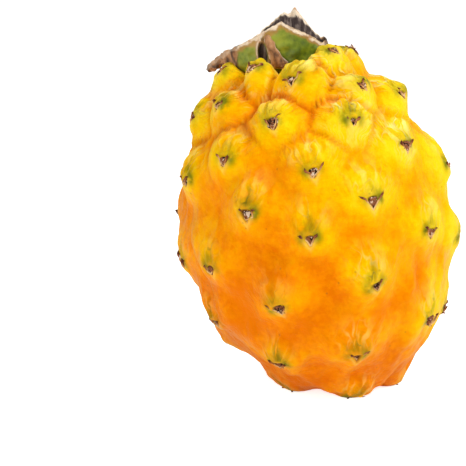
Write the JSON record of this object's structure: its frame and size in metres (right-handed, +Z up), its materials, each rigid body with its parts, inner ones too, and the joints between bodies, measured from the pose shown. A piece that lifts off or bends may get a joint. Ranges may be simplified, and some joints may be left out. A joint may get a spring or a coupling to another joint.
{
  "type": "dragon fruit",
  "caption": "Whole yellow dragon fruit with knobbly skin and spine scars, standing on its blossom end with a cut piece of stem on top.",
  "frame": {"origin": "middle of the fruit's outline seen from above, on the surface that it stands on", "axes": "+Z up, along the fruit from its blossom end to its stem end, leaning 8 degrees towards -X; -Y is the side seen from the front, +X its right"},
  "size_m": [0.0808, 0.0812, 0.1062],
  "materials": {
    "skin": "waxy satin, golden yellow with orange hollows, greenish tips and brown spine scars",
    "stem": "satin green rind with dry tan edges and dark fibrous pith"
  },
  "bodies": {
    "root": {"fruit": "skin", "cut_stem": "stem"}
  },
  "joints": []
}
